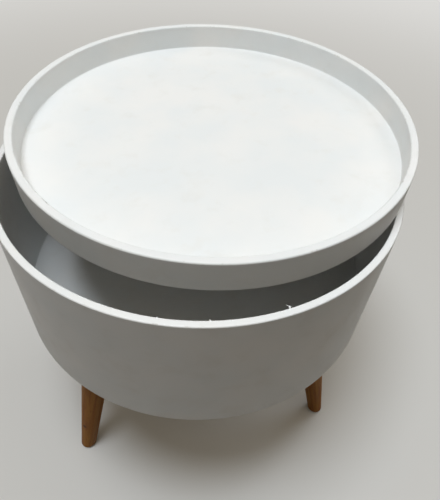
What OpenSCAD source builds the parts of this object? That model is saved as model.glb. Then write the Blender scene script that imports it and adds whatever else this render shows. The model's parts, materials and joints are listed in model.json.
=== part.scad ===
// Round storage table: a white drum body on three splayed beech legs, with a
// lift-off tray for a lid. The tray stands pushed back on the body's rim, so
// its locating ring rides on the rim and the tray's front dips into the mouth.
// Millimetres, +Z up. The origin is on the floor, on the body's axis, and the
// front is -Y.

/* [Body] */
// Outer diameter of the body and of the tray above it
body_d = 400; // [320:5:600]
// Height of the body's rim above the floor
rim_height = 406; // [340:1:520]
// Height of the body's wall
body_h = 157; // [110:1:200]
// Thickness of the body's wall
body_wall_t = 6.5; // [5:0.5:10]
// Thickness of the body's floor
body_floor_t = 9; // [8:0.5:15]
// Thickness of the tongue around the body's floor
body_tongue_t = 5; // [3:0.5:7]
// How far the body's floor stands above the wall's lower edge
body_floor_up = 3; // [2:0.5:8]
// Radius of the eased edges along the body's rim
rim_ease = 1.2; // [0.4:0.1:2]
// Radius of the body's lower outer edge
body_foot_r = 3.5; // [1:0.5:5]

/* [Tray] */
// Height of the tray's wall
tray_h = 33; // [20:1:60]
// Thickness of the tray's wall
tray_wall_t = 7.6; // [5:0.2:10]
// Thickness of the tray's floor
tray_floor_t = 5; // [4.5:0.5:9]
// Thickness of the tongue around the tray's floor
tray_tongue_t = 3; // [2:0.5:4]
// How far the tray's floor stands above the wall's lower edge
tray_floor_up = 1; // [0.5:0.1:3]
// Radius of the eased edges along the tray's rim
tray_ease = 1.6; // [0.4:0.1:2.4]
// Radius of the tray's lower outer edge
tray_foot_r = 2; // [0.5:0.5:3]
// How far the locating ring stands below the tray's wall
ring_drop = 3; // [2:0.5:8]
// Width of the locating ring
ring_w = 14; // [10:1:30]
// Play between the locating ring and the body's mouth, on each side
ring_play = 8.5; // [2:0.5:14]
// How far the tray is pushed off the body's axis
tray_push = 39; // [0:1:45]
// Direction of that push, anticlockwise from +X, in degrees
tray_push_dir = 62; // [0:1:359]

/* [Legs] */
// Angle between a leg and the vertical, in degrees
leg_splay = 13; // [5:0.5:16]
// How far inside the body's outer face the legs' axes meet the floor
stance_inset = 4; // [-20:1:25]
// Diameter of a leg at its top
leg_top_d = 40; // [36:1:44]
// Diameter of a leg at the floor
leg_foot_d = 20; // [18:1:28]
// Chamfer around a leg's foot
leg_foot_chamfer = 1; // [0.5:0.5:2]
// Radius of the edge around a leg's top
leg_top_ease = 2; // [0.5:0.5:3]

/* [Leg plates] */
// Side of the square mounting plate
plate_w = 60; // [54:1:70]
// Thickness of the pressed steel
plate_t = 2.5; // [2:0.5:3]
// Radius of the plate's corners
plate_corner_r = 8; // [2:1:12]
// Distance between two screws along a side
plate_hole_pitch = 46; // [42:1:50]
// Outer diameter of the pressed boss
boss_d = 32; // [28:1:34]
// How far the boss's seat lies below the plate, at its centre
boss_drop = 6; // [5:0.5:9]

/* [Fasteners] */
// Outer diameter of the hanger bolt's threads
hanger_d = 8; // [6:1:10]
// Length of the hanger bolt inside the leg
hanger_wood_len = 36; // [25:1:60]
// Length of the hanger bolt above the leg
hanger_machine_len = 12; // [10:0.5:13]
// Shank diameter of a plate screw
plate_screw_d = 4; // [3:0.5:4.5]
// Length of a plate screw
plate_screw_len = 9.5; // [6:0.5:10]
// Shank diameter of a ring screw
ring_screw_d = 3; // [2.5:0.5:3.5]
// Length of a ring screw
ring_screw_len = 7.5; // [6:0.5:8]
// Number of screws that hold the locating ring
ring_screw_n = 6; // [3:1:12]

/* [Glides] */
// Diameter of the plastic glide under a leg
glide_d = 17; // [12:1:18]
// Thickness of the glide
glide_t = 3; // [2:0.5:5]
// Shank diameter of the glide's nail
nail_d = 2.5; // [2:0.5:3]
// Length of the glide's nail
nail_len = 14; // [10:1:20]

/* [Clearances] */
// How deep the grooves for both floors are cut into the walls
groove_depth = 2.5; // [1:0.5:3]
// Play between a floor and its wall, in the groove and above it
groove_play = 0.2; // [0.1:0.1:0.5]
// Play around a fastener in its hole, on each side
hole_play = 0.05; // [0.02:0.01:0.2]
// Gap where the tray rests on the body's rim
rest_gap = 0.3; // [0.2:0.1:1]

/* [Hidden] */
$fn = 96;
// How far cuts pass a face: flush ones, and those through sloped faces
eps = 0.01;
cut = 1;

// Body
body_r = body_d / 2;
mouth_r = body_r - body_wall_t;
body_base_z = rim_height - body_h;
underside_z = body_base_z + body_floor_up;

// Tray, measured from the plane of its wall's lower edge
tray_inner_r = body_r - tray_wall_t;
ring_r = mouth_r - ring_play;
ring_t = ring_drop + tray_floor_up;
ring_mid_r = ring_r - ring_w / 2;

// Where the pushed tray touches the rim, as distances from the tray's centre
// along the push: its wall in front and its ring behind. Both lie on the
// body's inner edge. The ring drops in the mouth when the push is small.
tray_rides = tray_push > ring_play;
push = max(tray_push, eps);
wall_contact = max(-body_r, (pow(mouth_r, 2) - pow(push, 2) - pow(body_r, 2)) / (2 * push));
ring_contact = (pow(mouth_r, 2) - pow(push, 2) - pow(ring_r, 2)) / (2 * push);
tray_slope = tray_rides ? ring_drop / (ring_contact - wall_contact) : 0;
tray_tilt = atan(tray_slope);
tray_z = rim_height + rest_gap - tray_slope * (tray_rides ? wall_contact : 0);

// Legs: one at the back and two in front, anticlockwise from +X in degrees
back_dir = 90;
front_left_dir = 210;
front_right_dir = 330;
leg_dirs = [back_dir, front_left_dir, front_right_dir];
stance_r = body_r - stance_inset;
seat_z = underside_z - plate_t - boss_drop;
leg_len = seat_z / cos(leg_splay);
plate_r = stance_r - (underside_z - plate_t / 2) * tan(leg_splay);
foot_mid_r = stance_r - glide_t * tan(leg_splay);

// The blank of a leg reaches past the floor, and is then cut level
foot_extra = 10;

// Pressed plate: the boss's length along the leg passes the plate's top
boss_wall = plate_t;
boss_len = boss_drop + plate_t + boss_d * tan(leg_splay);

// Clinch nut, and the relief over it in the body's floor
nut_wall = 2.5;
nut_barrel_d = hanger_d + 2 * nut_wall;
nut_flange_w = 2;
nut_flange_d = nut_barrel_d + 2 * nut_flange_w;
nut_flange_t = 1.5;
nut_top = 3.5;
relief_gap = 1;
relief_w = 4.5;
relief_d = nut_flange_d + 2 * relief_w;
relief_depth = hanger_machine_len * cos(leg_splay) + hanger_d / 2 * sin(leg_splay)
    - boss_drop - plate_t + relief_gap;

// Threads: core and crest as shares of the diameter and of the pitch
hanger_core = 0.82;
crest_share = 0.1;
hanger_machine_pitch = 1.25;
hanger_wood_pitch = 3;
hanger_collar = 4;

// Screws and nails: head and point as shares of the shank's diameter
screw_head_scale = 1.9;
point_scale = 0.25;
nail_head_d = 2.8 * nail_d;
nail_head_t = 0.4 * glide_t;
nail_head_up = glide_t / 6;

// Colours
WHITE = [0.93, 0.93, 0.92];
BEECH = [0.66, 0.42, 0.22];
STEEL = [0.72, 0.73, 0.75];
ZINC = [0.82, 0.80, 0.72];
NYLON = [0.22, 0.21, 0.20];
BARE_MDF = [0.72, 0.60, 0.45];

// Profile of a bent wall as a half section: outer radius r, thickness t and
// height h from z = 0, with its rim's two edges and lower outer edge rounded
module wall_profile(r, t, h, ease, foot_r) {
    difference() {
        translate([r - t, 0]) square([t, h]);
        translate([r - foot_r, 0]) square([foot_r + eps, foot_r]);
        translate([r - ease, h - ease]) square([ease + eps, ease + eps]);
        translate([r - t - eps, h - ease]) square([ease + eps, ease + eps]);
    }
    intersection() {
        translate([r - foot_r, foot_r]) circle(foot_r);
        translate([r - foot_r, 0]) square(foot_r);
    }
    for (x = [r - ease, r - t + ease])
        translate([x, h - ease]) circle(ease);
}

// Wall with the groove for its floor's tongue
module grooved_wall(r, t, h, ease, foot_r, floor_up, tongue_t) {
    rotate_extrude()
        difference() {
            wall_profile(r, t, h, ease, foot_r);
            translate([r - t - eps, floor_up]) square([groove_depth + eps, tongue_t]);
        }
}

// Round floor from z = 0 up, for a wall of that inner radius, with a tongue
// around its lower edge
module tongued_floor(wall_inner_r, t, tongue_t) {
    cylinder(h = t, r = wall_inner_r - groove_play);
    cylinder(h = tongue_t, r = wall_inner_r + groove_depth - groove_play);
}

// Moves what stands on a leg's axis, at the floor and with +Z along that axis,
// to that leg. Before it, +X points away from the body's axis
module along_leg(dir) {
    rotate([0, 0, dir]) translate([stance_r, 0, 0]) rotate([0, -leg_splay, 0]) children();
}

// Moves what stands upright on the floor, under the middle of a leg's foot
module at_foot(dir) {
    rotate([0, 0, dir]) translate([foot_mid_r, 0, 0]) children();
}

// Moves what stands on the plate's upper face, at its middle, to that leg
module at_plate(dir) {
    rotate([0, 0, dir]) translate([plate_r, 0, underside_z]) children();
}

module at_plate_holes() {
    for (x = [-1, 1], y = [-1, 1])
        translate([x, y, 0] * plate_hole_pitch / 2) children();
}

// Countersunk screw that points up from its head at z = 0, or, with play, the
// hole for it
module countersunk(d, len, play = 0) {
    head_r = screw_head_scale * d / 2;
    cone_h = head_r - d / 2;
    point = d / 2;
    translate([0, 0, play > 0 ? -eps : 0])
        cylinder(h = cone_h + (play > 0 ? eps : 0), r1 = head_r + play, r2 = d / 2 + play);
    cylinder(h = len - point + play, r = d / 2 + play);
    translate([0, 0, len - point + play])
        cylinder(h = point, r1 = d / 2 + play, r2 = point_scale * d / 2 + play);
}

module tray_place() {
    translate([tray_push * cos(tray_push_dir), tray_push * sin(tray_push_dir), tray_z])
        rotate([0, 0, tray_push_dir])
            rotate([0, -tray_tilt, 0])
                rotate([0, 0, -tray_push_dir])
                    children();
}

module at_ring_screws() {
    for (i = [0 : ring_screw_n - 1])
        rotate([0, 0, i * 360 / ring_screw_n])
            translate([ring_mid_r, 0, -ring_drop]) children();
}

// Side view of a thread as rows of ridges from z = 0 to len, for a revolve
module ridge_profile(d, len, pitch) {
    n = floor(len / pitch);
    core_r = hanger_core * d / 2;
    ridges = [for (i = [0 : n - 1]) each [
        [core_r, i * pitch],
        [d / 2, (i + (1 - crest_share) / 2) * pitch],
        [d / 2, (i + (1 + crest_share) / 2) * pitch]]];
    polygon(concat([[0, 0]], ridges, [[core_r, n * pitch], [core_r, len], [0, len]]));
}

module body_wall() {
    color(WHITE)
        translate([0, 0, body_base_z])
            grooved_wall(body_r, body_wall_t, body_h, rim_ease, body_foot_r,
                         body_floor_up, body_tongue_t);
}

module body_floor() {
    color(WHITE)
        difference() {
            translate([0, 0, underside_z])
                tongued_floor(mouth_r, body_floor_t, body_tongue_t);
            for (dir = leg_dirs)
                at_plate(dir) {
                    translate([0, 0, -eps]) cylinder(h = relief_depth + eps, d = relief_d);
                    translate([0, 0, -plate_t])
                        at_plate_holes() countersunk(plate_screw_d, plate_screw_len, hole_play);
                }
        }
}

module tray_wall() {
    color(WHITE)
        tray_place()
            grooved_wall(body_r, tray_wall_t, tray_h, tray_ease, tray_foot_r,
                         tray_floor_up, tray_tongue_t);
}

module tray_floor() {
    color(WHITE)
        tray_place()
            difference() {
                translate([0, 0, tray_floor_up])
                    tongued_floor(tray_inner_r, tray_floor_t, tray_tongue_t);
                at_ring_screws() countersunk(ring_screw_d, ring_screw_len, hole_play);
            }
}

module tray_locating_ring() {
    color(BARE_MDF)
        tray_place()
            difference() {
                translate([0, 0, -ring_drop]) cylinder(h = ring_t, r = ring_r);
                translate([0, 0, -ring_drop - eps]) cylinder(h = ring_t + 2 * eps, r = ring_r - ring_w);
                at_ring_screws() countersunk(ring_screw_d, ring_screw_len, hole_play);
            }
}

module ring_screws() {
    color(ZINC)
        tray_place()
            at_ring_screws() countersunk(ring_screw_d, ring_screw_len);
}

// A turned, tapered leg: flat at its top, square to its own axis, and cut
// level at its foot
module leg(dir) {
    foot_r = leg_foot_d / 2;
    top_r = leg_top_d / 2;
    taper = (top_r - foot_r) / leg_len;
    color(BEECH)
        difference() {
            intersection() {
                along_leg(dir)
                    rotate_extrude() {
                        polygon([[0, -foot_extra],
                                 [foot_r - taper * foot_extra, -foot_extra],
                                 [top_r - taper * leg_top_ease, leg_len - leg_top_ease],
                                 [top_r - leg_top_ease, leg_len - leg_top_ease],
                                 [top_r - leg_top_ease, leg_len],
                                 [0, leg_len]]);
                        translate([top_r - leg_top_ease * (1 + taper), leg_len - leg_top_ease])
                            circle(leg_top_ease);
                    }
                at_foot(dir)
                    translate([0, 0, glide_t]) {
                        cylinder(h = 3 * leg_foot_chamfer,
                                 r1 = foot_r - leg_foot_chamfer, r2 = foot_r + 2 * leg_foot_chamfer);
                        translate([0, 0, 3 * leg_foot_chamfer])
                            cylinder(h = underside_z, r = stance_r);
                    }
            }
            along_leg(dir)
                translate([0, 0, leg_len - hanger_wood_len - hole_play])
                    cylinder(h = hanger_wood_len + cut, d = hanger_d + 2 * hole_play);
            at_foot(dir)
                translate([0, 0, glide_t - eps])
                    cylinder(h = nail_len + hole_play, d = nail_d + 2 * hole_play);
        }
}

// Pressed steel plate with a hollow boss, whose seat is square to the leg
module leg_plate(dir) {
    color(STEEL)
        difference() {
            union() {
                at_plate(dir)
                    translate([0, 0, -plate_t])
                        linear_extrude(plate_t) plate_outline();
                intersection() {
                    along_leg(dir)
                        translate([0, 0, leg_len]) cylinder(h = boss_len, d = boss_d);
                    at_plate(dir)
                        translate([0, 0, -boss_len]) cylinder(h = boss_len, d = plate_w);
                }
            }
            along_leg(dir) {
                translate([0, 0, leg_len + boss_wall])
                    cylinder(h = boss_len, d = boss_d - 2 * boss_wall);
                translate([0, 0, leg_len - cut])
                    cylinder(h = boss_wall + 2 * cut, d = nut_barrel_d + 2 * hole_play);
            }
            at_plate(dir)
                translate([0, 0, -plate_t])
                    at_plate_holes() countersunk(plate_screw_d, plate_screw_len, hole_play);
        }
}

module plate_outline() {
    side = plate_w - 2 * plate_corner_r;
    square([plate_w, side], center = true);
    square([side, plate_w], center = true);
    for (x = [-1, 1], y = [-1, 1])
        translate([x, y] * side / 2) circle(plate_corner_r);
}

module clinch_nuts() {
    color(ZINC)
        for (dir = leg_dirs)
            along_leg(dir)
                translate([0, 0, leg_len])
                    difference() {
                        union() {
                            cylinder(h = boss_wall, d = nut_barrel_d);
                            translate([0, 0, boss_wall]) cylinder(h = nut_flange_t, d = nut_flange_d);
                            translate([0, 0, boss_wall + nut_flange_t])
                                cylinder(h = nut_top, d = nut_barrel_d);
                        }
                        translate([0, 0, -cut])
                            cylinder(h = boss_wall + nut_flange_t + nut_top + 2 * cut,
                                     d = hanger_d + 2 * hole_play);
                    }
}

// Double-ended bolts: a coarse thread in the leg, a plain collar at its top
// and a fine thread through the nut
module hanger_bolts() {
    color(ZINC)
        for (dir = leg_dirs)
            along_leg(dir)
                translate([0, 0, leg_len])
                    rotate_extrude() {
                        ridge_profile(hanger_d, hanger_machine_len, hanger_machine_pitch);
                        translate([0, -hanger_collar]) square([hanger_d / 2, hanger_collar]);
                        translate([0, -hanger_wood_len])
                            ridge_profile(hanger_d, hanger_wood_len - hanger_collar, hanger_wood_pitch);
                    }
}

module plate_screws() {
    color(ZINC)
        for (dir = leg_dirs)
            at_plate(dir)
                translate([0, 0, -plate_t])
                    at_plate_holes() countersunk(plate_screw_d, plate_screw_len);
}

// Plastic disc under a leg's foot, with a rounded lower edge and a sunk hole
// for its nail
module glide(dir) {
    edge_r = glide_t / 2;
    color(NYLON)
        at_foot(dir)
            difference() {
                rotate_extrude() {
                    square([glide_d / 2 - edge_r, glide_t]);
                    translate([0, edge_r]) square([glide_d / 2, glide_t - edge_r]);
                    translate([glide_d / 2 - edge_r, edge_r]) circle(edge_r);
                }
                translate([0, 0, -eps]) cylinder(h = glide_t + 2 * eps, d = nail_d + 2 * hole_play);
                translate([0, 0, -eps])
                    cylinder(h = nail_head_up + nail_head_t + eps, d = nail_head_d + 2 * hole_play);
            }
}

module glide_nails() {
    shank_top = glide_t + nail_len - nail_d;
    color(ZINC)
        for (dir = leg_dirs)
            at_foot(dir) {
                translate([0, 0, nail_head_up]) {
                    cylinder(h = nail_head_t, d = nail_head_d);
                    cylinder(h = shank_top - nail_head_up, d = nail_d);
                }
                translate([0, 0, shank_top])
                    cylinder(h = nail_d, d1 = nail_d, d2 = point_scale * nail_d);
            }
}

body_wall();
body_floor();
tray_wall();
tray_floor();
tray_locating_ring();
ring_screws();
leg(back_dir);  // leg_back
leg(front_left_dir);  // leg_front_left
leg(front_right_dir);  // leg_front_right
leg_plate(back_dir);  // leg_plate_back
leg_plate(front_left_dir);  // leg_plate_front_left
leg_plate(front_right_dir);  // leg_plate_front_right
clinch_nuts();
hanger_bolts();
plate_screws();
glide(back_dir);  // glide_back
glide(front_left_dir);  // glide_front_left
glide(front_right_dir);  // glide_front_right
glide_nails();
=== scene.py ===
# Round storage table with a tray lid, dressed for a studio picture
import json
import math
import bmesh
import bpy
from mathutils import Matrix, Vector, noise


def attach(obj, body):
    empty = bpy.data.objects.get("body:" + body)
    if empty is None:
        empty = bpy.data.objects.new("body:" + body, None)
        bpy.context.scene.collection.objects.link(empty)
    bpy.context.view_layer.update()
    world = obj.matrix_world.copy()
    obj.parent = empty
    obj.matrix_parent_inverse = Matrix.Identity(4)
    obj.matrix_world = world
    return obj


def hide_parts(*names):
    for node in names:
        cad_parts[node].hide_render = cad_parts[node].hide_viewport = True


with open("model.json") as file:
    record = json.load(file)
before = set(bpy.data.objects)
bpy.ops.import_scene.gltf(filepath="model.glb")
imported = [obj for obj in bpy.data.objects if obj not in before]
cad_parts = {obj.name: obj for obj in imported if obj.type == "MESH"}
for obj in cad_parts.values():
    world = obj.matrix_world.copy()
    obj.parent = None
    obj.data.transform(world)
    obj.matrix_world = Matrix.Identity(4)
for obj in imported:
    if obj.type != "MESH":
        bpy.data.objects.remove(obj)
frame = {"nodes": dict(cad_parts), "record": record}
nodes = frame["nodes"]
mounts = {mount["name"]: mount for mount in frame["record"]["mounts"]}
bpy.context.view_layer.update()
mm = 0.001
print("frame loaded:", len(nodes), "nodes")


# Camera and studio
cameraSet = {
    "place": (-0.05865, -0.38151, 0.68284),
    "turnRight": 14.0,  # degrees away from +Y
    "lookDown": 46.36,
    "roll": 5.1,
    "focalPixels": 464.5,  # on the picture's long side
    "longSidePixels": 500,
    "centreRight": 9.7,  # of the lens axis, in pixels from the picture's middle
    "centreDown": -0.4,
    "clipStart": 0.02,
}
studioSet = {
    "floorHalf": 9.0,  # metres, as all places and sizes here
    "floorColour": "#dcdbd8",
    "floorBounce": "#544b41",  # what the floor gives back to the object
    "fadeFrom": 0.5,  # where the floor starts to melt into the backdrop
    "fadeTo": 2.2,
    "airColour": "#f6ead5",
    "airLow": 0.02,  # strength near the horizon
    "airHigh": 0.72,  # strength overhead
    "airFrom": 0.35,  # where it starts to grow, as a share of the way up
    "panelColour": "#eef6ff",
    "panelSize": 0.8,
    "panelPlace": (-0.33, -0.27, 2.4),
    "panelAim": (0.0, 0.0, 0.4),  # of the fill too
    "panelPower": 29,  # watts
    "fillSize": 1.0,
    "fillPlace": (1.35, 0.75, 1.9),  # behind the table, to its right
    "fillPower": 6.5,
}


def linearColour(code):
    # "#rrggbb" as seen on a screen, to the linear values that shaders take
    shares = [int(code[i:i + 2], 16) / 255 for i in (1, 3, 5)]
    return [s / 12.92 if s <= 0.04045 else ((s + 0.055) / 1.055) ** 2.4 for s in shares] + [1.0]


def addNode(tree, kind, values=None, links=None, **settings):
    node = tree.nodes.new("ShaderNode" + kind)
    for name, value in settings.items():
        setattr(node, name, value)
    for socket, value in (values or {}).items():
        node.inputs[socket].default_value = value
    for socket, source in (links or {}).items():
        tree.links.new(source, node.inputs[socket])
    return node


def remap(tree, value, low, high, toLow, toHigh):
    return addNode(tree, "MapRange", {1: low, 2: high, 3: toLow, 4: toHigh}, {0: value}).outputs[0]


def makeCamera():
    data = bpy.data.cameras.new("studioCamera")
    data.lens = cameraSet["focalPixels"] / cameraSet["longSidePixels"] * data.sensor_width
    data.shift_x = -cameraSet["centreRight"] / cameraSet["longSidePixels"]
    data.shift_y = cameraSet["centreDown"] / cameraSet["longSidePixels"]
    data.clip_start = cameraSet["clipStart"]
    camera = bpy.data.objects.new("studioCamera", data)
    camera.matrix_world = (
        Matrix.Translation(cameraSet["place"])
        @ Matrix.Rotation(math.radians(-cameraSet["turnRight"]), 4, "Z")
        @ Matrix.Rotation(math.radians(90 - cameraSet["lookDown"]), 4, "X")
        @ Matrix.Rotation(math.radians(cameraSet["roll"]), 4, "Z")
    )
    bpy.context.scene.collection.objects.link(camera)
    bpy.context.scene.camera = camera


def makePanelLight(name, place, aim, size, power):
    data = bpy.data.lights.new(name, "AREA")
    data.shape = "DISK"
    data.size = size
    data.energy = power
    data.color = linearColour(studioSet["panelColour"])[:3]
    lamp = bpy.data.objects.new(name, data)
    lamp.location = place
    lamp.rotation_euler = (Vector(aim) - Vector(place)).to_track_quat("-Z", "Y").to_euler()
    bpy.context.scene.collection.objects.link(lamp)


def seenDirectly(tree):
    # 1 where the camera, or a mirror or glass, looks at the surface
    path = addNode(tree, "LightPath")
    mirrored = addNode(tree, "Math", operation="MAXIMUM", links={
        0: path.outputs["Is Glossy Ray"], 1: path.outputs["Is Transmission Ray"]})
    return addNode(tree, "Math", operation="MAXIMUM", links={
        0: path.outputs["Is Camera Ray"], 1: mirrored.outputs[0]}).outputs[0]


def makeStudio():
    bm = bmesh.new()
    bmesh.ops.create_grid(bm, x_segments=1, y_segments=1, size=studioSet["floorHalf"])
    mesh = bpy.data.meshes.new("studioFloor")
    bm.to_mesh(mesh)
    bm.free()
    floor = bpy.data.objects.new("studioFloor", mesh)
    bpy.context.scene.collection.objects.link(floor)

    # Matt floor: pale to look at and fading into the backdrop, darker where its
    # light falls on the object, and clear from below to show the underside
    material = bpy.data.materials.new("mattStudioFloor")
    material.use_nodes = True
    tree = material.node_tree
    tree.nodes.clear()
    pale = addNode(tree, "BsdfDiffuse", {"Color": linearColour(studioSet["floorColour"])})
    far = addNode(tree, "Emission", {"Color": linearColour(studioSet["floorColour"])})
    dim = addNode(tree, "BsdfDiffuse", {"Color": linearColour(studioSet["floorBounce"])})
    clear = addNode(tree, "BsdfTransparent")
    side = addNode(tree, "NewGeometry")
    away = addNode(tree, "VectorMath", links={0: addNode(tree, "TexCoord").outputs["Object"]},
                   operation="LENGTH").outputs["Value"]
    fade = addNode(tree, "MapRange", {1: studioSet["fadeFrom"], 2: studioSet["fadeTo"]},
                   {0: away}, interpolation_type="SMOOTHSTEP")
    blended = addNode(tree, "MixShader", links={
        0: fade.outputs[0], 1: pale.outputs[0], 2: far.outputs[0]})
    shown = addNode(tree, "MixShader", links={
        0: seenDirectly(tree), 1: dim.outputs[0], 2: blended.outputs[0]})
    above = addNode(tree, "MixShader", links={
        0: side.outputs["Backfacing"], 1: shown.outputs[0], 2: clear.outputs[0]})
    addNode(tree, "OutputMaterial", links={"Surface": above.outputs[0]})
    mesh.materials.append(material)

    world = bpy.data.worlds.new("studioAir")
    world.use_nodes = True
    tree = world.node_tree
    tree.nodes.clear()
    seen = addNode(tree, "Background", {"Color": linearColour(studioSet["floorColour"])})
    upward = addNode(tree, "SeparateXYZ", links={0: addNode(tree, "TexCoord").outputs["Generated"]})
    strength = remap(tree, upward.outputs["Z"], studioSet["airFrom"], 1,
                     studioSet["airLow"], studioSet["airHigh"])
    air = addNode(tree, "Background", {"Color": linearColour(studioSet["airColour"])},
                  {"Strength": strength})
    both = addNode(tree, "MixShader", links={
        0: seenDirectly(tree), 1: air.outputs[0], 2: seen.outputs[0]})
    addNode(tree, "OutputWorld", links={"Surface": both.outputs[0]})
    bpy.context.scene.world = world

    makePanelLight("overheadPanel", studioSet["panelPlace"], studioSet["panelAim"],
                   studioSet["panelSize"], studioSet["panelPower"])
    makePanelLight("backFill", studioSet["fillPlace"], studioSet["panelAim"],
                   studioSet["fillSize"], studioSet["fillPower"])
    bpy.context.scene.view_settings.view_transform = "Standard"


makeCamera()
makeStudio()
print("camera and studio made")


# Materials. Object coordinates are metres, so a pattern's scale is how many
# times its size in millimetres fits in a metre
def perMetre(size):
    return 1 / (size * mm)


def startMaterial(name):
    material = bpy.data.materials.new(name)
    material.use_nodes = True
    tree = material.node_tree
    tree.nodes.clear()
    place = addNode(tree, "TexCoord").outputs["Object"]
    shader = addNode(tree, "BsdfPrincipled")
    addNode(tree, "OutputMaterial", links={"Surface": shader.outputs[0]})
    return material, tree, place, shader


def addNoise(tree, place, size, detail=2.0, roughness=0.5, stretch=None):
    # stretch: how many times longer the pattern is along x, y and z
    if stretch:
        scale = [1 / s for s in stretch]
        place = addNode(tree, "Mapping", {"Scale": scale}, {"Vector": place}).outputs[0]
    return addNode(tree, "TexNoise", {
        "Scale": perMetre(size), "Detail": detail, "Roughness": roughness},
        {"Vector": place}).outputs["Fac"]


def mixColours(tree, share, first, second):
    # first and second: hex codes, or colour outputs of other nodes
    node = addNode(tree, "Mix", data_type="RGBA")
    tree.links.new(share, node.inputs[0])
    for socket, colour in ((6, first), (7, second)):
        if isinstance(colour, str):
            node.inputs[socket].default_value = linearColour(colour)
        else:
            tree.links.new(colour, node.inputs[socket])
    return node.outputs[2]


def joinShades(tree, first, second, operation="MULTIPLY"):
    return addNode(tree, "Math", links={0: first, 1: second}, operation=operation).outputs[0]


def addBump(tree, height, depth, under=None):
    # depth: how far the pattern's full range lifts the surface, in millimetres
    links = {"Height": height}
    if under:
        links["Normal"] = under
    return addNode(tree, "Bump", {"Strength": 1.0, "Distance": depth * mm}, links).outputs[0]


paintSet = {
    "white": "#efeeeb",
    "cool": "#e9ebea",
    "shade": "#e4e2dc",
    "rubbed": "#cfccc5",
    "cloudSize": 70,
    "rubSize": 8,
    "peelSize": 2.2,
    "peelDepth": 0.02,
    "nibSpacing": 24,
    "nibDepth": 0.06,
    "gloss": (0.36, 0.5),  # roughness, from the smoothest to the dullest place
    "refraction": 1.48,
}


def makePaint(name, marks=None):
    # Sprayed satin lacquer on fibreboard: an even, very slightly warm white with
    # faint orange peel, a few nibs, a soft broken sheen and rubbed edges. marks
    # adds what only one piece has
    material, tree, place, shader = startMaterial(name)
    cloud = addNoise(tree, place, paintSet["cloudSize"], 3.0)
    smear = addNoise(tree, place, paintSet["cloudSize"] / 3, 4.0, 0.6)
    colour = mixColours(tree, remap(tree, cloud, 0.35, 0.65, 0, 1),
                        paintSet["white"], paintSet["cool"])
    colour = mixColours(tree, remap(tree, smear, 0.55, 0.8, 0, 0.5), colour, paintSet["shade"])
    edge = addNode(tree, "Attribute", attribute_name="edge").outputs["Fac"]
    rub = remap(tree, addNoise(tree, place, paintSet["rubSize"], 4.0, 0.6), 0.58, 0.68, 0, 0.6)
    colour = mixColours(tree, joinShades(tree, edge, rub), colour, paintSet["rubbed"])
    if marks:
        colour = marks(tree, place, colour)
    tree.links.new(colour, shader.inputs["Base Color"])
    tree.links.new(remap(tree, smear, 0.3, 0.7, *paintSet["gloss"]), shader.inputs["Roughness"])
    shader.inputs["IOR"].default_value = paintSet["refraction"]
    peel = addBump(tree, addNoise(tree, place, paintSet["peelSize"], 1.5), paintSet["peelDepth"])
    nib = addNode(tree, "TexVoronoi", {"Scale": perMetre(paintSet["nibSpacing"])}, {"Vector": place})
    nibHeight = remap(tree, nib.outputs["Distance"], 0.0, 0.03, 1, 0)
    tree.links.new(addBump(tree, nibHeight, paintSet["nibDepth"], peel), shader.inputs["Normal"])
    return material


# A thin grey line of painted shade along the inner edge of the tray's rim, where the rim meets the
# floor
paintedRimShadeSet = {
    "place": (-0.1372, -0.0816, 0.4342),
    "turn": -56.4,  # degrees from +X, along the tray's rim
    "length": 15,
    "width": 2.2,
    "depth": 3,
    "breakSize": 1.6,
    "colour": "#8f8c86",
}


def addPaintedRimShade(tree, place, colour):
    # Painted shade: one thin grey line along the inner edge of the tray's rim, standing in for the
    # shade where the rim meets the floor
    halfSize = [paintedRimShadeSet[side] / 2 * mm for side in ("length", "width", "depth")]
    turned = addNode(tree, "Mapping", {
        "Location": paintedRimShadeSet["place"], "Rotation": (0, 0, math.radians(paintedRimShadeSet["turn"])),
        "Scale": halfSize}, {"Vector": place}, vector_type="TEXTURE").outputs[0]
    away = addNode(tree, "VectorMath", links={0: turned}, operation="LENGTH").outputs["Value"]
    broken = remap(tree, addNoise(tree, place, paintedRimShadeSet["breakSize"], 3.0), 0.35, 0.6, 0.35, 1)
    share = joinShades(tree, remap(tree, away, 0.3, 1.0, 0.75, 0), broken)
    return mixColours(tree, share, colour, paintedRimShadeSet["colour"])


beechSet = {
    "pale": "#a47028",
    "warm": "#8a531a",
    "line": "#7b4a1f",
    "fleck": "#653a17",
    "grainLong": 26,  # how many times longer than wide the grain is
    "streakSize": 5.5,
    "driftSize": 60,
    "ringWidth": 3.4,  # drawn wider than real, so that it shows in the picture
    "ringDepth": 0.03,
    "heartAway": (34, 21, 0),  # from the leg's axis to the tree's heart
    "fleckSize": 0.9,
    "fleckLong": 7,
    "fleckDepth": 0.05,
    "knotPlace": (11.5, 3.9, 56.4),  # in the left leg's own frame
    "knotSize": 3.5,
    "knot": "#472810",
    "gloss": (0.56, 0.7),
    "refraction": 1.38,
}


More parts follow.
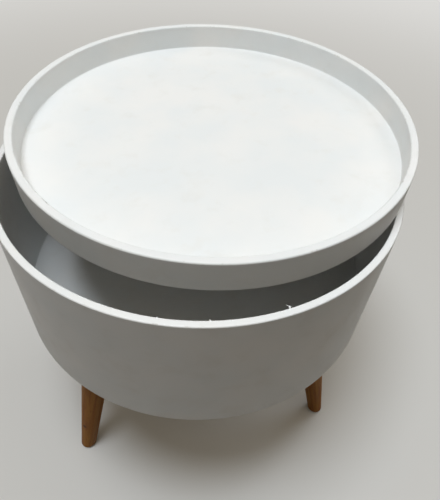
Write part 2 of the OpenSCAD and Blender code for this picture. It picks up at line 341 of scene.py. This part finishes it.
def makeBeech(name):
    # Turned beech under warm brown stain and matt lacquer: straight soft grain
    # lines along the leg, paler and redder streaks, short dark ray flecks, and
    # one knot in the front left leg
    material, tree, place, shader = startMaterial(name)
    grain = addNode(tree, "Attribute", attribute_name="grain").outputs["Vector"]
    along = (1, 1, beechSet["grainLong"])
    streak = addNoise(tree, grain, beechSet["streakSize"], 3.0, 0.55, along)
    drift = addNoise(tree, grain, beechSet["driftSize"], 2.0)
    colour = mixColours(tree, remap(tree, streak, 0.34, 0.66, 0, 1),
                        beechSet["pale"], beechSet["warm"])
    rings = addNode(tree, "TexWave", {
        "Scale": math.tau / 20 * perMetre(beechSet["ringWidth"]), "Distortion": 4.0,
        "Detail": 2.0, "Detail Scale": 0.25, "Detail Roughness": 0.5},
        {"Vector": addNode(tree, "Mapping", {
            "Location": [c * mm for c in beechSet["heartAway"]],
            "Scale": [1 / s for s in along]}, {"Vector": grain}).outputs[0]},
        wave_type="RINGS", rings_direction="Z").outputs["Fac"]
    lines = remap(tree, rings, 0.62, 0.98, 0, 1)
    colour = mixColours(tree, joinShades(tree, lines, remap(tree, drift, 0.3, 0.7, 0.2, 0.6)),
                        colour, beechSet["line"])
    specks = addNoise(tree, grain, beechSet["fleckSize"], 2.0, 0.5, (1, 1, beechSet["fleckLong"]))
    flecks = remap(tree, specks, 0.62, 0.7, 0, 0.65)
    colour = mixColours(tree, flecks, colour, beechSet["fleck"])
    fromKnot = addNode(tree, "VectorMath", {1: [c * mm for c in beechSet["knotPlace"]]},
                       {0: grain}, operation="DISTANCE").outputs["Value"]
    reach = beechSet["knotSize"] * mm
    knot = remap(tree, fromKnot, 0.45 * reach, reach, 0.9, 0)
    halo = remap(tree, fromKnot, reach, 3.2 * reach, 0.35, 0)
    colour = mixColours(tree, halo, colour, beechSet["line"])
    colour = mixColours(tree, knot, colour, beechSet["knot"])
    tree.links.new(colour, shader.inputs["Base Color"])
    shader.inputs["IOR"].default_value = beechSet["refraction"]
    tree.links.new(remap(tree, streak, 0.3, 0.7, *beechSet["gloss"]), shader.inputs["Roughness"])
    pores = addBump(tree, flecks, -beechSet["fleckDepth"])
    tree.links.new(addBump(tree, lines, -beechSet["ringDepth"], pores), shader.inputs["Normal"])
    return material


platedSteelSet = {
    "bright": "#c9cccf",
    "dull": "#a9adb0",
    "tint": "#aeb6bf",
    "gloss": (0.34, 0.52),
    "stretch": (9, 1, 9),
    "patchSize": 9,
    "fineSize": 0.7,
    "fineDepth": 0.015,
}
yellowZincSet = {
    "bright": "#d4bd80",
    "dull": "#b99a58",
    "tint": "#c3b98d",
    "gloss": (0.28, 0.45),
    "stretch": (1, 1, 1),
    "patchSize": 9,
    "fineSize": 0.7,
    "fineDepth": 0.015,
}


def makeMetal(name, looks):
    material, tree, place, shader = startMaterial(name)
    patch = addNoise(tree, place, looks["patchSize"], 3.0, 0.6)
    fine = addNoise(tree, place, looks["fineSize"], 2.0, 0.6, looks["stretch"])
    colour = mixColours(tree, remap(tree, fine, 0.3, 0.7, 0, 1), looks["bright"], looks["dull"])
    colour = mixColours(tree, remap(tree, patch, 0.45, 0.7, 0, 0.7), colour, looks["tint"])
    tree.links.new(colour, shader.inputs["Base Color"])
    shader.inputs["Metallic"].default_value = 1.0
    tree.links.new(remap(tree, joinShades(tree, patch, fine, "ADD"), 0.7, 1.3, *looks["gloss"]),
                   shader.inputs["Roughness"])
    tree.links.new(addBump(tree, fine, looks["fineDepth"]), shader.inputs["Normal"])
    return material


def makePlatedSteel():
    # Zinc plated pressed steel: cool satin grey with rolling lines and duller,
    # faintly blue patches
    return makeMetal("zincPlatedPressedSteel", platedSteelSet)


def makeYellowZinc():
    # Yellow passivated zinc on screws and bolts: pale brass with duller and
    # faintly greenish patches
    return makeMetal("yellowPassivatedZinc", yellowZincSet)


boardSet = {
    "face": "#b8976c",
    "dark": "#94734c",
    "light": "#cbae84",
    "fibreSize": 1.1,
    "fibreDepth": 0.08,
    "cloudSize": 30,
    "gloss": (0.78, 0.9),
}


def makeBareBoard():
    # Unpainted medium density fibreboard: matt tan with short pressed fibres
    material, tree, place, shader = startMaterial("bareFibreboard")
    fibre = addNoise(tree, place, boardSet["fibreSize"], 4.0, 0.7, (3, 1, 0.5))
    cross = addNoise(tree, place, boardSet["fibreSize"], 4.0, 0.7, (1, 3, 0.5))
    cloud = addNoise(tree, place, boardSet["cloudSize"], 2.0)
    colour = mixColours(tree, remap(tree, fibre, 0.42, 0.7, 0, 0.8),
                        boardSet["face"], boardSet["dark"])
    colour = mixColours(tree, remap(tree, cross, 0.5, 0.75, 0, 0.8), colour, boardSet["light"])
    colour = mixColours(tree, remap(tree, cloud, 0.4, 0.8, 0, 0.3), colour, boardSet["dark"])
    tree.links.new(colour, shader.inputs["Base Color"])
    tree.links.new(remap(tree, cloud, 0.3, 0.7, *boardSet["gloss"]), shader.inputs["Roughness"])
    tree.links.new(addBump(tree, fibre, boardSet["fibreDepth"]), shader.inputs["Normal"])
    return material


nylonSet = {
    "black": "#34312e",
    "worn": "#4d4a46",
    "scuffSize": 3.5,
    "grainSize": 0.6,
    "grainDepth": 0.03,
    "gloss": (0.38, 0.6),
    "refraction": 1.53,
}


def makeNylon():
    # Moulded dark nylon: low sheen, fine moulded grain and paler scuffs
    material, tree, place, shader = startMaterial("mouldedNylon")
    scuffs = addNoise(tree, place, nylonSet["scuffSize"], 4.0, 0.65)
    worn = remap(tree, scuffs, 0.5, 0.7, 0, 0.8)
    tree.links.new(mixColours(tree, worn, nylonSet["black"], nylonSet["worn"]),
                   shader.inputs["Base Color"])
    tree.links.new(remap(tree, worn, 0, 1, *nylonSet["gloss"]), shader.inputs["Roughness"])
    shader.inputs["IOR"].default_value = nylonSet["refraction"]
    moulded = addNoise(tree, place, nylonSet["grainSize"], 1.0)
    tree.links.new(addBump(tree, moulded, nylonSet["grainDepth"]), shader.inputs["Normal"])
    return material


paint = makePaint("satinLacquer")
# Paint for the tray wall, with the line of painted shade along its rim
paintWithRimShade = makePaint("satinLacquerWithPaintedRimShade", addPaintedRimShade)
beech = makeBeech("turnedBeech")
platedSteel = makePlatedSteel()
yellowZinc = makeYellowZinc()
bareBoard = makeBareBoard()
nylon = makeNylon()
print("materials ready")


# Meshes
hardAngle = 32  # degrees between faces


def placeObject(mesh, name, body, material, replaced=(), weighted=True):
    mesh.materials.clear()
    mesh.materials.append(material)
    piece = bpy.data.objects.new(name, mesh)
    bpy.context.scene.collection.objects.link(piece)
    if weighted:
        normals = piece.modifiers.new("evenShading", "WEIGHTED_NORMAL")
        normals.keep_sharp = True
    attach(piece, body)
    if replaced:
        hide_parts(*replaced)
    return piece


def meshFrom(bm, name):
    # Smooth faces, with a hard edge wherever two meet at more than a rounding's step
    for face in bm.faces:
        face.smooth = True
    mesh = bpy.data.meshes.new(name)
    bm.to_mesh(mesh)
    bm.free()
    mesh.set_sharp_from_angle(angle=math.radians(hardAngle))
    return mesh


def spinOutline(bm, corners, closed=True, steps=256, arcSteps=6):
    # corners: radius, height and rounding of each, in millimetres
    verts = [bm.verts.new((r * mm, 0, z * mm)) for r, z, rounding in corners]
    ends = verts[1:] + verts[:1] if closed else verts[1:]
    for a, b in zip(verts, ends):
        bm.edges.new((a, b))
    for vert, (r, z, rounding) in zip(verts, corners):
        if rounding:
            bmesh.ops.bevel(bm, geom=[vert], offset=rounding * mm, offset_type="OFFSET",
                            segments=arcSteps, profile=0.5, affect="VERTICES", material=-1)
    bmesh.ops.spin(bm, geom=bm.verts[:] + bm.edges[:], cent=(0, 0, 0), axis=(0, 0, 1),
                   angle=math.tau, steps=steps, use_merge=True)
    bmesh.ops.remove_doubles(bm, verts=bm.verts, dist=1e-6)
    bmesh.ops.recalc_face_normals(bm, faces=bm.faces)


def markEdges(bm, corners):
    # 1 along each rounded corner and 0 on the flats beside it
    layer = bm.verts.layers.float.new("edge")
    for vert in bm.verts:
        radius = vert.co.xy.length / mm
        height = vert.co.z / mm
        for r, z, rounding in corners:
            reach = rounding - 0.01
            if abs(radius - r) < reach and abs(height - z) < reach:
                vert[layer] = 1.0


# Walls and floors. Sizes are in millimetres; the tray's place and tilt come from
# the frame, and its own heights start at its wall's lower edge
trayAxis = Vector(mounts["tray_top"]["axis"]).normalized()
traySet = {
    "radius": 200,
    "height": 33,
    "wall": 7.6,
    "floorUp": 1,
    "floorThick": 5,
    "tongue": 3,
    "rimEase": 1.6,
    "footEase": 2,
    "groove": 2.5,
    "bead": 1.1,
}
bodySet = {
    "radius": 200,
    "rimHeight": 406,
    "height": 157,
    "wall": 6.5,
    "floorUp": 3,
    "floorThick": 9,
    "tongue": 5,
    "rimEase": 1.2,
    "footEase": 3.5,
    "groove": 2.5,
    "bead": 1.1,
}
trayFloorTop = (traySet["floorUp"] + traySet["floorThick"]) * mm
trayCentre = Vector(mounts["tray_top"]["pos_m"]) - trayAxis * trayFloorTop
trayPlace = Matrix.Translation(trayCentre) @ Vector((0, 0, 1)).rotation_difference(
    trayAxis).to_matrix().to_4x4()


def wallCorners(sizes, base):
    # Outline of a bent wall, with the groove for the tongue around its floor
    outer = sizes["radius"]
    inner = outer - sizes["wall"]
    grooveLow = base + sizes["floorUp"]
    grooveHigh = grooveLow + sizes["tongue"]
    top = base + sizes["height"]
    return [
        (inner, base, 0),
        (outer, base, sizes["footEase"]),
        (outer, top, sizes["rimEase"]),
        (inner, top, sizes["rimEase"]),
        (inner, grooveHigh, 0),
        (inner + sizes["groove"], grooveHigh, 0),
        (inner + sizes["groove"], grooveLow, 0),
        (inner, grooveLow, 0),
    ]


def makeWall(name, sizes, base, place, body, replaced, material):
    bm = bmesh.new()
    corners = wallCorners(sizes, base)
    spinOutline(bm, corners)
    markEdges(bm, corners)
    bm.transform(place)
    return placeObject(meshFrom(bm, name), name, body, material, [replaced])


def makeBead(name, sizes, base, place, body):
    # Paint that has gathered in the corner between a floor and its wall
    reach = sizes["bead"]
    overlap = 0.02
    inner = sizes["radius"] - sizes["wall"]
    floorTop = base + sizes["floorUp"] + sizes["floorThick"]
    arcSteps = 5
    corners = []
    for i in range(arcSteps + 1):
        turn = math.pi / 2 * i / arcSteps
        corners.append((inner - reach * (1 - math.sin(turn)),
                        floorTop + reach * (1 - math.cos(turn)), 0))
    corners += [(inner + overlap, floorTop + reach, 0),
                (inner + overlap, floorTop - overlap, 0),
                (inner - reach, floorTop - overlap, 0)]
    bm = bmesh.new()
    spinOutline(bm, corners)
    bm.transform(place)
    return placeObject(meshFrom(bm, name), name, body, paint, weighted=False)


nibSet = {
    # of each: direction from the axis in degrees, middle's reach into the mouth, depth
    # and width along the rim, and how far it is turned off the rim, in degrees
    "nibs": ((-78.15, 0.9, 2.8, 1.8, -15), (-78.4, 2.9, 0.45, 3.4, -57),
             (-96.3, 0.5, 2.1, 1.0, 8), (-107.6, 0.2, 0.9, 1.1, 0)),
    "tall": 0.7,  # height as a share of the smaller of depth and width
    "rough": 0.4,
    "lumps": 3.1,  # across each nib
    "under": 0.9,  # from the rim's top down to the nibs' middles
}


def makeNibs():
    # Hard nibs and one thread of paint on the inner edge of the body's rim
    bm = bmesh.new()
    for turn, reach, deep, wide, lean in nibSet["nibs"]:
        verts = bmesh.ops.create_icosphere(bm, subdivisions=3, radius=0.5)["verts"]
        for vert in verts:
            lump = noise.noise(vert.co * nibSet["lumps"] + Vector((turn, 0, 0)))
            vert.co *= 1 + nibSet["rough"] * lump
        tall = nibSet["tall"] * min(deep, wide)
        bmesh.ops.scale(bm, verts=verts, vec=(deep * mm, wide * mm, tall * mm))
        out = bodySet["radius"] - bodySet["wall"] - reach
        height = bodySet["rimHeight"] - nibSet["under"]
        place = (Matrix.Rotation(math.radians(turn), 4, "Z")
                 @ Matrix.Translation((out * mm, 0, height * mm))
                 @ Matrix.Rotation(math.radians(lean), 4, "Z"))
        bmesh.ops.transform(bm, matrix=place, verts=verts)
    placeObject(meshFrom(bm, "rimPaintNibs"), "rimPaintNibs", "base", paint)


def redress(name, material):
    # Gives a node that is shown as it is its finish
    nodes[name].data.materials.clear()
    nodes[name].data.materials.append(material)


bodyBase = bodySet["rimHeight"] - bodySet["height"]
still = Matrix.Identity(4)
makeWall("bodyWall", bodySet, bodyBase, still, "base", "body_wall", paint)
makeBead("bodyPaintBead", bodySet, bodyBase, still, "base")
makeNibs()
makeWall("trayWall", traySet, 0, trayPlace, "tray", "tray_wall", paintWithRimShade)
makeBead("trayPaintBead", traySet, 0, trayPlace, "tray")
redress("body_floor", paint)
redress("tray_floor", paint)
print("walls and floors made")


# Legs
legSet = {
    "splay": 13.0,  # degrees from upright
    "stance": 196,  # radius at which the legs' axes meet the floor
    "seatHeight": 243.5,
    "topWidth": 40,
    "footWidth": 20,
    "topEase": 2,
    "footHeight": 3,
    "footEase": 1.2,
    "boreWidth": 8.1,
    "boreDepth": 36.05,
    "boreEase": 0.4,
    "steps": 96,
}
legTurns = {"back": 90, "front_left": 210, "front_right": 330}
legLength = legSet["seatHeight"] / math.cos(math.radians(legSet["splay"]))
# Where in the wood's pattern each leg was cut
grainShifts = {
    "back": (0.31, 0.12, 0.4),
    "front_left": (0, 0, 0),
    "front_right": (0.15, -0.24, 0.7),
}


def legPlace(where):
    # From the leg's own frame, with its axis on +Z, to where it stands
    return (Matrix.Rotation(math.radians(legTurns[where]), 4, "Z")
            @ Matrix.Translation((legSet["stance"] * mm, 0, 0))
            @ Matrix.Rotation(math.radians(-legSet["splay"]), 4, "Y"))


def makeLeg(where):
    name = "leg_" + where
    below = 10  # past the floor, until the sole is cut level
    footRadius = legSet["footWidth"] / 2
    topRadius = legSet["topWidth"] / 2
    slope = (topRadius - footRadius) / legLength
    bore = legSet["boreWidth"] / 2
    boreEnd = legLength - legSet["boreDepth"]
    corners = [(0, -below, 0), (footRadius - slope * below, -below, 0),
               (topRadius, legLength, legSet["topEase"]),
               (bore, legLength, legSet["boreEase"]), (bore, boreEnd, 0), (0, boreEnd, 0)]
    bm = bmesh.new()
    spinOutline(bm, corners, closed=False, steps=legSet["steps"])
    place = legPlace(where)
    bm.transform(place)
    sole = bmesh.ops.bisect_plane(bm, geom=bm.verts[:] + bm.edges[:] + bm.faces[:],
                                  plane_co=(0, 0, legSet["footHeight"] * mm),
                                  plane_no=(0, 0, -1), clear_outer=True)
    ring = [e for e in sole["geom_cut"] if isinstance(e, bmesh.types.BMEdge)]
    bmesh.ops.contextual_create(bm, geom=ring)
    bmesh.ops.bevel(bm, geom=ring, offset=legSet["footEase"] * mm, offset_type="OFFSET",
                    segments=4, profile=0.5, affect="EDGES", material=-1)
    bmesh.ops.recalc_face_normals(bm, faces=bm.faces)
    back = place.inverted()
    layer = bm.verts.layers.float_vector.new("grain")
    for vert in bm.verts:
        vert[layer] = back @ vert.co + Vector(grainShifts[where])
    placeObject(meshFrom(bm, name), "turned_" + name, "base", beech, [name])


for where in legTurns:
    makeLeg(where)
print("legs made")


# Hardware: pressed plates, locating ring, screws, glides
easeSet = {  # rounding of each one's edges
    "plate": 0.35,
    "ring": 0.5,
    "glide": 0.2,
}


def easedCopy(nodeName, name, body, material, ease, segments=2):
    # The node's own shape with its sharp edges rounded
    bm = bmesh.new()
    bm.from_mesh(nodes[nodeName].data)
    bmesh.ops.remove_doubles(bm, verts=bm.verts, dist=2e-6)
    bmesh.ops.dissolve_limit(bm, angle_limit=math.radians(1), verts=bm.verts, edges=bm.edges)
    sharp = [e for e in bm.edges if len(e.link_faces) == 2
             and e.calc_face_angle() > math.radians(hardAngle)]
    bmesh.ops.bevel(bm, geom=sharp, offset=ease * mm, offset_type="OFFSET", segments=segments,
                    profile=0.5, affect="EDGES", material=-1, clamp_overlap=True)
    return placeObject(meshFrom(bm, name), name, body, material, [nodeName])


screwSet = {
    "headScale": 1.9,  # head's diameter as a multiple of the shank's
    "recessWidth": 0.62,  # of the head's diameter
    "recessDepth": 0.42,
    "slotWidth": 0.17,
    "recessFloor": (0.35, 0.6),  # length and width at its bottom, as shares
    "threadDepth": 0.14,  # of the shank's diameter
    "threadPitch": 1.2,
    "crest": (0.45, 0.55),  # where a ridge's flat top starts and ends, of the pitch
    "landHeight": 0.18,  # of the head's upright edge
    "landEase": 0.05,
    "faceEase": 0.1,
    "plainLength": 0.9,  # from the head to the thread
    "tipWidth": 0.24,  # of the shank's diameter
}


def screwMesh(shank, length):
    # Countersunk cross-recess screw, head down at z = 0 and point up
    head = screwSet["headScale"] * shank / 2
    radius = shank / 2
    core = radius - screwSet["threadDepth"] * shank
    pitch = screwSet["threadPitch"]
    neck = head - radius
    ease = screwSet["landEase"]
    corners = [(0, 0, 0), (head - ease, 0, screwSet["faceEase"]),
               (head, screwSet["landHeight"], ease), (radius, neck + 0.2, 0)]
    z = neck + screwSet["plainLength"]
    while z + pitch < length - radius:
        corners.append((core, z, 0))
        corners += [(radius, z + share * pitch, 0) for share in screwSet["crest"]]
        z += pitch
    corners += [(core, z, 0), (core * 0.9, length - radius, 0),
                (screwSet["tipWidth"] / 2 * shank, length, 0), (0, length, 0)]
    bm = bmesh.new()
    spinOutline(bm, corners, closed=False, steps=32, arcSteps=2)
    mesh = meshFrom(bm, "screwBlank")

    # Two crossed boxes that narrow into the head, half above its face
    cutter = bmesh.new()
    across = 2 * head * mm
    for turn in (0, math.pi / 2):
        box = bmesh.ops.create_cube(cutter, size=1.0)["verts"]
        bmesh.ops.scale(cutter, verts=box, vec=(
            screwSet["recessWidth"] * across, screwSet["slotWidth"] * across,
            2 * screwSet["recessDepth"] * across))
        for vert in box:
            if vert.co.z > 0:
                vert.co.x *= screwSet["recessFloor"][0]
                vert.co.y *= screwSet["recessFloor"][1]
        bmesh.ops.rotate(cutter, verts=box, cent=(0, 0, 0), matrix=Matrix.Rotation(turn, 3, "Z"))
    recess = bpy.data.objects.new("screwRecess", meshFrom(cutter, "screwRecess"))
    blank = bpy.data.objects.new("screwBlank", mesh)
    for item in (recess, blank):
        bpy.context.scene.collection.objects.link(item)
    cut = blank.modifiers.new("crossRecess", "BOOLEAN")
    cut.object = recess
    cut.operation = "DIFFERENCE"
    cut.solver = "EXACT"
    cut.use_self = True
    shown = blank.evaluated_get(bpy.context.evaluated_depsgraph_get())
    result = bpy.data.meshes.new_from_object(shown)
    result.set_sharp_from_angle(angle=math.radians(hardAngle))
    for item in (recess, blank):
        bpy.data.objects.remove(item)
    return result


def repeatMesh(mesh, places, name, body, material, replaced):
    # One object with a copy of the mesh at each place
    bm = bmesh.new()
    for i, place in enumerate(places):
        bm.from_mesh(mesh)
        bm.verts.ensure_lookup_table()
        count = len(mesh.vertices)
        bmesh.ops.transform(bm, matrix=place, verts=bm.verts[i * count:])
    return placeObject(meshFrom(bm, name), name, body, material, [replaced])


plateSet = {
    "underside": 252,
    "thick": 2.5,
    "holePitch": 46,
    "screwShank": 4,
    "screwLength": 9.5,
}
ringSet = {
    "drop": 3,
    "middle": 178,  # radius of the screws' circle
    "screws": 6,
    "screwShank": 3,
    "screwLength": 7.5,
}
screwTurns = (17, 62, 38, 5, 80, 51, 29, 71, 11, 44, 66, 24)  # degrees, as each was driven home


def makePlateScrews():
    # Each plate is centred where its leg's axis comes through the sheet's middle
    middleHeight = plateSet["underside"] - plateSet["thick"] / 2
    centreRadius = legSet["stance"] - middleHeight * math.tan(math.radians(legSet["splay"]))
    faceHeight = plateSet["underside"] - plateSet["thick"]
    half = plateSet["holePitch"] / 2
    places = []
    for where in legTurns:
        middle = (Matrix.Rotation(math.radians(legTurns[where]), 4, "Z")
                  @ Matrix.Translation((centreRadius * mm, 0, faceHeight * mm)))
        for x in (-half, half):
            for y in (-half, half):
                turn = Matrix.Rotation(math.radians(screwTurns[len(places)]), 4, "Z")
                places.append(middle @ Matrix.Translation((x * mm, y * mm, 0)) @ turn)
    mesh = screwMesh(plateSet["screwShank"], plateSet["screwLength"])
    repeatMesh(mesh, places, "plateScrews", "base", yellowZinc, "plate_screws")


def makeRingScrews():
    places = []
    for i in range(ringSet["screws"]):
        around = Matrix.Rotation(math.tau * i / ringSet["screws"], 4, "Z")
        turn = Matrix.Rotation(math.radians(screwTurns[i]), 4, "Z")
        places.append(trayPlace @ around @ Matrix.Translation(
            (ringSet["middle"] * mm, 0, -ringSet["drop"] * mm)) @ turn)
    mesh = screwMesh(ringSet["screwShank"], ringSet["screwLength"])
    repeatMesh(mesh, places, "ringScrews", "tray", yellowZinc, "ring_screws")


for where in legTurns:
    easedCopy("leg_plate_" + where, "pressed_plate_" + where, "base",
              platedSteel, easeSet["plate"])
    easedCopy("glide_" + where, "moulded_glide_" + where, "base", nylon, easeSet["glide"])
easedCopy("tray_locating_ring", "boardRing", "tray", bareBoard, easeSet["ring"])
makePlateScrews()
makeRingScrews()
for name in ("clinch_nuts", "hanger_bolts", "glide_nails"):
    redress(name, yellowZinc)
print("hardware made")
